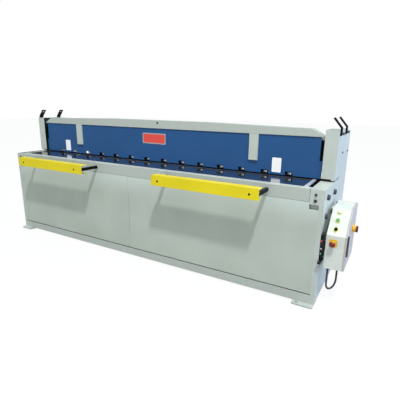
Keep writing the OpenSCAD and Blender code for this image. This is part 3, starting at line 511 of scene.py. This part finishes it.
def make_finishes():
    """One material for each material slot of the record, by the slot's name."""
    for build in (paint_film_group, edge_wear_group, dust_group, grinding_group, grain_group, painted_gap_shade_group,
                  cross_members_group, painted_panel_top_light_group, countersunk_group):
        build()
    paints = settings().paints
    return {
        # frame_paint carries painted shade in its gaps
        "frame_paint": enamel("frame_paint", paints.frame_colour, marks="Painted gap shade",
                              tone=(shade(paints.frame_colour, 0.965), "Cross members")),
        "panel_paint": enamel("panel_paint", paints.panel_colour, rough=0.40, peel=0.10,
                              # Lighter copy of the panel colour at the panels' top: a painted highlight
                              tone=((0.745, 0.785, 0.75), "Panel top painted light")),
        "ram_paint": enamel("ram_paint", shade(paints.frame_colour, 0.97)),
        "guard_paint": enamel("guard_paint", paints.guard_colour, rough=0.32),
        "rail_paint": enamel("rail_paint", paints.rail_colour, rough=0.38, marks="Countersunk screws"),
        "box_paint": powder_coat("box_paint", paints.box_colour),
        # Darker grey than the box's powder coat on the door side: painted shade on that side of the box
        "door_paint": powder_coat("door_paint", (0.69, 0.67, 0.65), 0.2),
        "ground_steel": table_steel("ground_steel", paints.steel_colour),
        "bright_steel": ground_steel("bright_steel", paints.bright_colour, 0.45, (900.0, 900.0, 60.0), 0.08),
        "black_steel": enamel("black_steel", paints.black_colour, rough=0.45, wear=0.1, gloss=0.1),
        "foot_steel": foot_finish("foot_steel", (0.09, 0.08, 0.075), (0.97, 0.96, 0.95)),
        "valve_steel": enamel("valve_steel", (0.10, 0.10, 0.11), rough=0.42, wear=0.3),
        "gear_plastic": plastic("gear_plastic", (0.32, 0.33, 0.34), 0.45),
        "bezel_plastic": plastic("bezel_plastic", (0.86, 0.87, 0.60), 0.35),
        "warning_plastic": plastic("warning_plastic", (0.86, 0.69, 0.13), 0.32, coat=0.1),
        "gland_plastic": plastic("gland_plastic", (0.09, 0.09, 0.10), 0.45),
        "cable_rubber": plastic("cable_rubber", (0.06, 0.06, 0.065), 0.55, 300.0, 0.2),
        "red_plastic": plastic("red_plastic", (0.47, 0.11, 0.09), 0.30, coat=0.2),
        "white_plastic": plastic("white_plastic", (0.83, 0.86, 0.93), 0.35),
        "green_plastic": plastic("green_plastic", (0.34, 0.60, 0.42), 0.30, coat=0.2),
        "black_plastic": plastic("black_plastic", (0.045, 0.045, 0.05), 0.50, gloss=0.05),
    }


# Making of pieces

def link(name, data):
    piece = bpy.data.objects.new(name, data)
    bpy.context.scene.collection.objects.link(piece)
    return piece


def finish_piece(name, data, slot, body="frame", material=None):
    """An object with its finish, on its body."""
    piece = link(name, data)
    data.materials.clear()
    data.materials.append(material or bpy.data.materials[slot])
    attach(piece, body)
    return piece


def mesh_from(name, build):
    """A mesh that build fills in a bmesh, with its normals pointing out."""
    work = bmesh.new()
    build(work)
    bmesh.ops.remove_doubles(work, verts=work.verts, dist=1e-6)
    bmesh.ops.recalc_face_normals(work, faces=work.faces)
    mesh = bpy.data.meshes.new(name)
    work.to_mesh(mesh)
    work.free()
    return mesh


def add_block(work, low, high):
    """A box between two corners."""
    low, high = Vector(low), Vector(high)
    place = Matrix.Translation((low + high) / 2) @ Matrix.Diagonal((*(high - low), 1.0))
    bmesh.ops.create_cube(work, size=1.0, matrix=place)


def add_prism(work, outline, start, along_u, along_v, rise):
    """A closed prism: the outline's points lie on along_u and along_v, and rise is its third edge."""
    start, along_u, along_v, rise = Vector(start), Vector(along_u), Vector(along_v), Vector(rise)
    foot = [work.verts.new(start + u * along_u + v * along_v) for u, v in outline]
    top = [work.verts.new(v.co + rise) for v in foot]
    work.faces.new(foot)
    work.faces.new(top[::-1])
    for i in range(len(foot)):
        j = (i + 1) % len(foot)
        work.faces.new((foot[i], foot[j], top[j], top[i]))


def add_tube(work, low, high, radius, sides=24, radius_top=None):
    """A straight round bar or cone between two points."""
    low, high = Vector(low), Vector(high)
    turn = (high - low).to_track_quat("Z", "Y").to_matrix().to_4x4()
    bmesh.ops.create_cone(work, cap_ends=True, segments=sides, radius1=radius,
                          radius2=radius if radius_top is None else radius_top,
                          depth=(high - low).length, matrix=Matrix.Translation((low + high) / 2) @ turn)


def round_outline(width, height, radius, steps=6):
    """Rectangle about the origin with round corners."""
    points = []
    for corner, (sx, sy) in enumerate(((1, 1), (-1, 1), (-1, -1), (1, -1))):
        middle = (sx * (width / 2 - radius), sy * (height / 2 - radius))
        for step in range(steps + 1):
            angle = math.pi / 2 * (corner + step / steps)
            points.append((middle[0] + radius * math.cos(angle), middle[1] + radius * math.sin(angle)))
    return points


def smooth_edges(piece, width, angle=40.0, segments=2):
    """Breaks the sharp edges of a piece with a small round."""
    bevel = piece.modifiers.new("Broken edges", "BEVEL")
    bevel.width = width
    bevel.segments = segments
    bevel.limit_method = "ANGLE"
    bevel.angle_limit = math.radians(angle)
    bevel.harden_normals = False


# Screws by Geometry Nodes

def screw_tree():
    """Sets a washer and a socket head on every point, looking along the point's facing."""
    tree = bpy.data.node_groups.new("Screw heads", "GeometryNodeTree")
    faces = tree.interface
    faces.new_socket(name="Points", in_out="INPUT", socket_type="NodeSocketGeometry")
    sizes = [("Head radius", 0.010), ("Head height", 0.010), ("Washer radius", 0.013), ("Washer height", 0.002),
             ("Socket radius", 0.005)]
    for label, value in sizes:
        faces.new_socket(name=label, in_out="INPUT", socket_type="NodeSocketFloat").default_value = value
    faces.new_socket(name="Head sides", in_out="INPUT", socket_type="NodeSocketInt").default_value = 20
    faces.new_socket(name="Seed", in_out="INPUT", socket_type="NodeSocketInt").default_value = 0
    faces.new_socket(name="Material", in_out="INPUT", socket_type="NodeSocketMaterial")
    faces.new_socket(name="Mesh", in_out="OUTPUT", socket_type="NodeSocketGeometry")
    given = tree.nodes.new("NodeGroupInput").outputs
    result = tree.nodes.new("NodeGroupOutput")

    def disc(radius, height, lift, sides, top=None):
        cone = add(tree, "GeometryNodeMeshCone", {"Radius Bottom": radius, "Depth": height, "Vertices": sides})
        tree.links.new(top or radius, cone.inputs["Radius Top"])
        offset = add(tree, "ShaderNodeCombineXYZ", {"Z": lift}).outputs[0]
        return add(tree, "GeometryNodeTransform", {"Geometry": cone.outputs[0], "Translation": offset}).outputs[0]

    def times(a, b):
        return add(tree, "ShaderNodeMath", {0: a, 1: b}, operation="MULTIPLY").outputs[0]

    def plus(a, b):
        return add(tree, "ShaderNodeMath", {0: a, 1: b}, operation="ADD").outputs[0]

    washer = disc(given["Washer radius"], given["Washer height"], 0.0, 24)
    body_height = times(given["Head height"], 0.82)
    body = disc(given["Head radius"], body_height, given["Washer height"], given["Head sides"])
    top_z = plus(given["Washer height"], body_height)
    chamfer = disc(given["Head radius"], times(given["Head height"], 0.18), top_z, given["Head sides"],
                   times(given["Head radius"], 0.88))
    head = add(tree, "GeometryNodeJoinGeometry")
    for part in (chamfer, body):
        tree.links.new(part, head.inputs[0])
    head = add(tree, "GeometryNodeMergeByDistance", {"Geometry": head.outputs[0], "Distance": 1e-6}).outputs[0]
    hollow = disc(given["Socket radius"], given["Head height"],
                  plus(given["Washer height"], times(given["Head height"], 0.5)), 6)
    cut = add(tree, "GeometryNodeMeshBoolean", {"Mesh 1": head, "Mesh 2": hollow}, operation="DIFFERENCE")
    screw = add(tree, "GeometryNodeJoinGeometry")
    tree.links.new(cut.outputs["Mesh"], screw.inputs[0])
    tree.links.new(washer, screw.inputs[0])
    facing = add(tree, "GeometryNodeInputNamedAttribute", {"Name": "facing"}, data_type="FLOAT_VECTOR")
    look = add(tree, "FunctionNodeAlignRotationToVector", {"Vector": facing.outputs[0]}, axis="Z")
    spin = add(tree, "FunctionNodeRandomValue", {"Seed": given["Seed"]}, data_type="FLOAT")
    spin.inputs[3].default_value = 6.283
    turn = add(tree, "FunctionNodeAxisAngleToRotation", {"Axis": (0.0, 0.0, 1.0), "Angle": spin.outputs[1]})
    pose = add(tree, "FunctionNodeRotateRotation", {0: look.outputs[0], 1: turn.outputs[0]},
               rotation_space="LOCAL")
    copies = add(tree, "GeometryNodeInstanceOnPoints", {"Points": given["Points"],
                                                         "Instance": screw.outputs[0],
                                                         "Rotation": pose.outputs[0]})
    real = add(tree, "GeometryNodeRealizeInstances", {0: copies.outputs[0]})
    dressed = add(tree, "GeometryNodeSetMaterial", {"Geometry": real.outputs[0], "Material": given["Material"]})
    tree.links.new(dressed.outputs[0], result.inputs[0])
    return tree


def set_input(modifier, tree, label, value):
    socket = next(s for s in tree.interface.items_tree if s.name == label and s.in_out == "INPUT")
    modifier[socket.identifier] = value


def from_nodes(name, points, tree, inputs, slot, body="frame"):
    """Runs a tree on points, each (place, facing), and keeps the result as a plain mesh piece."""
    seed_mesh = bpy.data.meshes.new(name + "_points")
    seed_mesh.from_pydata([place for place, _ in points], [], [])
    facing = seed_mesh.attributes.new("facing", "FLOAT_VECTOR", "POINT")
    facing.data.foreach_set("vector", [c for _, way in points for c in way])
    carrier = link(name + "_points", seed_mesh)
    modifier = carrier.modifiers.new("Screws", "NODES")
    modifier.node_group = tree
    for label, value in inputs.items():
        set_input(modifier, tree, label, value)
    set_input(modifier, tree, "Material", bpy.data.materials[slot])
    evaluated = carrier.evaluated_get(bpy.context.evaluated_depsgraph_get())
    mesh = bpy.data.meshes.new_from_object(evaluated)
    carrier.modifiers.clear()
    bpy.data.objects.remove(carrier)
    if not mesh.polygons:
        raise RuntimeError(name + ": the tree made no faces")
    return finish_piece(name, mesh, slot, body)


def screws(name, points, radius, height, slot, body="frame", washer=1.25, socket=0.5, sides=20):
    """Screw heads on points, each (place, facing)."""
    inputs = {"Head radius": radius, "Head height": height, "Washer radius": radius * washer,
              "Washer height": 0.0015 if washer > 1.0 else 0.0002, "Socket radius": radius * socket,
              "Head sides": sides, "Seed": settings().screws.seed}
    tree = bpy.data.node_groups.get("Screw heads") or screw_tree()
    return from_nodes(name, points, tree, inputs, slot, body)


def span(first, last, count):
    """Count places from first to last, both included."""
    return [first + (last - first) * i / (count - 1) for i in range(count)]


# Operators

class SHEAR_OT_stage(bpy.types.Operator):
    """Camera, pale floor, white surroundings and two soft lamps"""
    bl_idname = "shear.stage"
    bl_label = "Studio"

    def execute(self, context):
        studio = settings().studio
        scene = context.scene
        scene.view_settings.view_transform = "Standard"
        self.place_camera(scene, studio)
        self.light_world(scene, studio)
        self.lay_floor()
        lamp = bpy.data.lights.new("key_lamp", "AREA")
        lamp.shape = "DISK"
        lamp.size = studio.key_size
        lamp.energy = studio.key
        key = link("key_lamp", lamp)
        key.location = studio.key_place
        key.rotation_euler = (Vector(KEY_AIM) - key.location).to_track_quat("-Z", "Y").to_euler()
        soft = bpy.data.lights.new("side_lamp", "AREA")
        soft.shape = "RECTANGLE"
        soft.size = 3.0
        soft.size_y = 2.4
        soft.energy = studio.side
        soft.color = (0.46, 0.62, 1.0)
        side = link("side_lamp", soft)
        side.location = (5.2, 0.6, 1.2)
        side.rotation_euler = (Vector(SIDE_AIM) - side.location).to_track_quat("-Z", "Y").to_euler()
        return {"FINISHED"}

    def place_camera(self, scene, studio):
        yaw, pitch, roll = studio.yaw, studio.pitch, studio.roll
        ahead = Vector((-math.sin(yaw) * math.cos(pitch), math.cos(yaw) * math.cos(pitch), -math.sin(pitch)))
        level = Vector((math.cos(yaw), math.sin(yaw), 0.0))
        above = level.cross(ahead)
        right = math.cos(roll) * level + math.sin(roll) * above
        up = math.cos(roll) * above - math.sin(roll) * level
        lens = bpy.data.cameras.new("camera")
        lens.lens = studio.lens
        lens.sensor_width = 36.0
        camera = link("camera", lens)
        turn = Matrix((right, up, -ahead)).transposed().to_4x4()
        camera.matrix_world = Matrix.Translation(studio.camera_place) @ turn
        scene.camera = camera

    def light_world(self, scene, studio):
        world = bpy.data.worlds.new("studio")
        world.use_nodes = True
        scene.world = world
        tree = world.node_tree
        tree.nodes.clear()
        way = add(tree, "ShaderNodeSeparateXYZ", {0: tree.nodes.new("ShaderNodeTexCoord").outputs["Generated"]})
        to_right, to_back, up = way.outputs
        horizon = mix_colour(tree, spread(tree, to_right, 0.2, 1.0), (0.60, 0.61, 0.62, 1.0),
                             (1.0, 1.2, 1.6, 1.0))
        soft = mix_colour(tree, spread(tree, up, 0.0, 0.9), horizon, (1.0, 1.06, 1.12, 1.0))
        behind = mix_colour(tree, spread(tree, to_right, -0.1, 0.4), (0.06, 0.07, 0.09, 1.0),
                            (0.95, 1.1, 1.45, 1.0))
        ahead = calc(tree, "MULTIPLY", spread(tree, to_back, 0.1, -0.7), spread(tree, to_right, 0.5, 0.1))
        level = mix_colour(tree, ahead, behind, (0.26, 0.28, 0.30, 1.0))
        mirrored = mix_colour(tree, spread(tree, up, 0.25, 0.75), level, (1.0, 1.0, 1.0, 1.0))
        path = tree.nodes.new("ShaderNodeLightPath").outputs
        lit = mix_colour(tree, path["Is Glossy Ray"], soft, mirrored)
        lit = add(tree, "ShaderNodeBackground", {"Color": lit, "Strength": studio.sky})
        seen = add(tree, "ShaderNodeBackground", {"Color": (1.0, 1.0, 1.0, 1.0), "Strength": 1.0})
        mixed = add(tree, "ShaderNodeMixShader", {0: seen_share(tree, 1.0), 1: lit.outputs[0], 2: seen.outputs[0]})
        output = tree.nodes.new("ShaderNodeOutputWorld")
        tree.links.new(mixed.outputs[0], output.inputs[0])

    def lay_floor(self):
        half = 30.0
        mesh = bpy.data.meshes.new("floor")
        mesh.from_pydata([(-half, -half, 0), (half, -half, 0), (half, half, 0), (-half, half, 0)], [],
                         [(0, 1, 2, 3)])
        floor = link("floor", mesh)
        material, tree, shader, place = new_material("floor_white")
        shader.inputs["Base Color"].default_value = (0.43, 0.43, 0.43, 1.0)
        shader.inputs["Roughness"].default_value = 0.9
        shader.inputs["Specular IOR Level"].default_value = 0.0
        glow = add(tree, "ShaderNodeEmission", {"Color": (1.0, 1.0, 1.0, 1.0), "Strength": 1.07})
        mixed = add(tree, "ShaderNodeMixShader", {0: seen_share(tree, 0.85), 1: shader.outputs[0],
                                                  2: glow.outputs[0]})
        dim = add(tree, "ShaderNodeEmission", {"Color": (0.95, 0.97, 1.0, 1.0), "Strength": 0.35})
        glossy = calc(tree, "MULTIPLY", tree.nodes.new("ShaderNodeLightPath").outputs["Is Glossy Ray"], 0.8)
        all_rays = add(tree, "ShaderNodeMixShader", {0: glossy, 1: mixed.outputs[0], 2: dim.outputs[0]})
        tree.links.new(all_rays.outputs[0], tree.nodes["Material Output"].inputs[0])
        mesh.materials.append(material)


def seen_share(tree, share):
    """Share for rays that show the surroundings themselves: the camera's, and those through glass."""
    path = tree.nodes.new("ShaderNodeLightPath")
    seen = calc(tree, "MAXIMUM", path.outputs["Is Camera Ray"], path.outputs["Is Transmission Ray"])
    return calc(tree, "MULTIPLY", seen, share)


class SHEAR_OT_finishes(bpy.types.Operator):
    """Gives every solid of the frame the finish of its material slot, and breaks its edges"""
    bl_idname = "shear.finishes"
    bl_label = "Finishes"

    def execute(self, context):
        finishes = make_finishes()
        for part in frame["record"]["subparts"]:
            solid = frame["nodes"][part["node"]]
            solid.data.materials.clear()
            solid.data.materials.append(finishes[part["material_slot"]])
        return {"FINISHED"}


class SHEAR_OT_cable(bpy.types.Operator):
    """Cable that hangs in a loop under the control box, from one gland to the other"""
    bl_idname = "shear.cable"
    bl_label = "Cable"

    def execute(self, context):
        curve = bpy.data.curves.new("cable", "CURVE")
        curve.dimensions = "3D"
        curve.resolution_u = 6
        curve.bevel_depth = 7 * MM
        curve.bevel_resolution = 6
        curve.use_fill_caps = True
        line = curve.splines.new("BEZIER")
        line.bezier_points.add(len(CABLE_ROUTE) - 1)
        for knot, place in zip(line.bezier_points, CABLE_ROUTE):
            knot.co = place
            knot.handle_left_type = "AUTO"
            knot.handle_right_type = "AUTO"
        cable = finish_piece("cable", curve, "cable_rubber")
        context.view_layer.update()
        knots = line.bezier_points
        for a, b in zip(knots, knots[1:]):
            walk = interpolate_bezier(a.co, a.handle_right, b.handle_left, b.co, 12)
        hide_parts("control_cable")
        return {"FINISHED"}


class SHEAR_OT_frame_screws(bpy.types.Operator):
    """Socket heads on the end plates, the end blocks, the lugs and the top beam"""
    bl_idname = "shear.frame_screws"
    bl_label = "Frame screws"

    def execute(self, context):
        sizes = settings().screws
        x_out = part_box("right_end_plate")[1].x
        places = [(-0.326, 0.789), (-0.081, 0.779), (-0.339, 0.656), (-0.105, 0.636), (0.116, 0.640)]
        for side, name, height in ((1, "right_side_bolts", sizes.bolt_height), (-1, "left_side_bolts", 8 * MM)):
            points = [((side * x_out, y, z), (side, 0, 0)) for y, z in places]
            screws(name, points, sizes.bolt_radius, height, "black_steel", washer=1.05)
        small = [(0.114, 1.052), (0.366, 1.042)]
        points = [((side * x_out, y, z), (side, 0, 0)) for side in (-1, 1) for y, z in small]
        screws("side_screws", points, sizes.screw_radius, sizes.screw_height, "black_steel")

        block_low, block_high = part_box("right_table_block")
        for name, z, radius in (("block_screws", 0.821, 0.009), ("block_bolts", 0.779, 0.011)):
            points = [((side * 1.587, block_low.y, z), (0, -1, 0)) for side in (-1, 1)]
            screws(name, points, radius, 8 * MM, "black_steel", washer=0.0)

        lugs_low, lugs_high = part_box("lifting_lugs")
        lug_half = 23 * MM
        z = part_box("right_end_plate")[1].z - 0.024
        points = [((x_out + 0.010, y, z), (1, 0, 0)) for y in (lugs_low.y + lug_half, lugs_high.y - lug_half)]
        screws("lug_bolts", points, 9 * MM, 16 * MM, "black_steel")
        beam_low, beam_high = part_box("top_beam")
        screws("beam_screw", [((0.042, beam_low.y, 1.228), (0, -1, 0))], sizes.screw_radius, sizes.screw_height,
               "black_steel")
        return {"FINISHED"}


class SHEAR_OT_panel_screws(bpy.types.Operator):
    """Small painted screws of the rear panel"""
    bl_idname = "shear.panel_screws"
    bl_label = "Panel screws"

    def execute(self, context):
        sizes = settings().screws
        low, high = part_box("rear_panel")
        points = [((x, high.y, high.z - 0.03), (0, 1, 0)) for x in span(low.x + 0.06, high.x - 0.06, 9)]
        screws("rear_screws", points, sizes.screw_radius, sizes.screw_height, "panel_paint")
        return {"FINISHED"}


class SHEAR_OT_plates(bpy.types.Operator):
    """Bare plates on the guard"""
    bl_idname = "shear.plates"
    bl_label = "Bare plates"

    def execute(self, context):
        guard_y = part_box("clamp_guard")[0].y
        for name, x, z in (("left_plate", -1.202, 0.944), ("right_plate", 1.197, 0.942)):
            self.plate(name, x, z, guard_y, 0.075, 0.115, 6 * MM, 1 * MM, "white_plastic")
        self.plate("middle_plate", -0.006, 1.082, guard_y, 0.27, 0.10, 10 * MM, 2 * MM, "bright_steel")
        self.plate("middle_field", -0.006, 1.082, guard_y - 2 * MM, 0.25, 0.08, 6 * MM, 0.6 * MM, "red_plastic")
        rivets = [((-0.006 + sx * 0.13, guard_y - 2 * MM, 1.082 + sz * 0.045), (0, -1, 0))
                  for sx in (-1, 1) for sz in (-1, 1)]
        screws("plate_rivets", rivets, 2.5 * MM, 1.5 * MM, "bright_steel", washer=0.0, socket=0.0)
        return {"FINISHED"}

    def plate(self, name, x, z, y, width, height, corner, thick, slot):
        def build(work):
            add_prism(work, round_outline(width, height, corner), (x, y, z), (1, 0, 0), (0, 0, 1), (0, -thick, 0))
        piece = finish_piece(name, mesh_from(name, build), slot)
        smooth_edges(piece, 0.3 * MM)


class SHEAR_OT_table_strip(bpy.types.Operator):
    """Black strip on the left end plate's top, and black sheets in the gaps beside the bed as painted shade."""
    bl_idname = "shear.table_strip"
    bl_label = "Table strip"

    def execute(self, context):
        plate_low, plate_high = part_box("left_end_plate")
        block_low, block_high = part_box("left_table_block")
        post_low, post_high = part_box("left_upper_post")
        z = block_high.z

        def build(work):
            add_block(work, (plate_low.x + 2 * MM, plate_low.y + 20 * MM, z),
                      (plate_low.x + 57 * MM, post_low.y - 22 * MM, z + 0.3 * MM))
        finish_piece("table_strip", mesh_from("table_strip", build), "black_plastic")
        bed_low, bed_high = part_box("table_bed")
        bed_end, block_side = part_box("lower_blade")[1].x + 0.5 * MM, -block_high.x - 0.5 * MM

        # Black sheets in the gaps beside the bed: painted shade
        def darken_gaps(work):
            for side in (-1, 1):
                ends = sorted((side * bed_end, side * block_side))
                add_block(work, (ends[0], bed_high.y - 38 * MM, bed_high.z - 57 * MM),
                          (ends[1], bed_high.y - 8 * MM, bed_high.z - 0.5 * MM))
        finish_piece("gap_shade_sheets", mesh_from("gap_shade_sheets", darken_gaps), "black_plastic")
        return {"FINISHED"}


class SHEAR_OT_box_fittings(bpy.types.Operator):
    """Handle of the box's door"""
    bl_idname = "shear.box_fittings"
    bl_label = "Box fittings"

    def execute(self, context):
        door_low, door_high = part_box("box_door")
        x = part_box("isolator_plate")[0].x

        def build(work):
            add_prism(work, round_outline(14 * MM, 0.150, 6 * MM), (x, -0.386, 0.482), (0, 1, 0), (0, 0, 1),
                      (12 * MM, 0, 0))
        piece = finish_piece("door_handle", mesh_from("door_handle", build), "black_plastic", "box_door")
        smooth_edges(piece, 2 * MM)
        return {"FINISHED"}


class SHEAR_OT_valve_fittings(bpy.types.Operator):
    """Plugs, nut and knob on the front of the valve block"""
    bl_idname = "shear.valve_fittings"
    bl_label = "Valve fittings"

    def execute(self, context):
        x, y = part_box("valve_manifold")[1].x, -0.421
        middle = x - 14 * MM

        def turned(name, z, radius, reach, slot, sides=20):
            def build(work):
                add_tube(work, (middle, y + 4 * MM, z), (middle, y - reach, z), radius, sides)
            smooth_edges(finish_piece(name, mesh_from(name, build), slot), 0.8 * MM)

        turned("valve_plug", 0.409, 5 * MM, 5 * MM, "green_plastic", 6)
        turned("valve_nut", 0.447, 7 * MM, 7 * MM, "bright_steel", 6)
        turned("valve_knob", 0.502, 5 * MM, 6 * MM, "red_plastic")
        return {"FINISHED"}


OPERATORS = (SHEAR_OT_stage, SHEAR_OT_finishes, SHEAR_OT_cable, SHEAR_OT_frame_screws,
             SHEAR_OT_panel_screws, SHEAR_OT_plates, SHEAR_OT_table_strip, SHEAR_OT_box_fittings,
             SHEAR_OT_valve_fittings)


class SHEAR_PT_panel(bpy.types.Panel):
    """Lists the steps that dress the machine"""
    bl_idname = "SHEAR_PT_panel"
    bl_label = "Shear"
    bl_space_type = "VIEW_3D"
    bl_region_type = "UI"
    bl_category = "Shear"

    def draw(self, context):
        for step in OPERATORS:
            self.layout.operator(step.bl_idname)
        for group in (settings().paints, settings().screws, settings().studio):
            box = self.layout.box()
            for key in group.bl_rna.properties.keys():
                if key not in ("rna_type", "name"):
                    box.prop(group, key)


CLASSES = (ShearPaints, ShearScrews, ShearStudio, ShearSettings) + OPERATORS + (SHEAR_PT_panel,)


def register():
    for item in CLASSES:
        bpy.utils.register_class(item)
    bpy.types.Scene.shear = PointerProperty(type=ShearSettings)


def unregister():
    del bpy.types.Scene.shear
    for item in reversed(CLASSES):
        bpy.utils.unregister_class(item)


def main():
    register()
    bpy.ops.shear.stage()
    bpy.ops.shear.finishes()
    bpy.ops.shear.cable()
    bpy.ops.shear.frame_screws()
    bpy.ops.shear.panel_screws()
    bpy.ops.shear.plates()
    bpy.ops.shear.table_strip()
    bpy.ops.shear.box_fittings()
    bpy.ops.shear.valve_fittings()


if __name__ == "__main__":
    main()
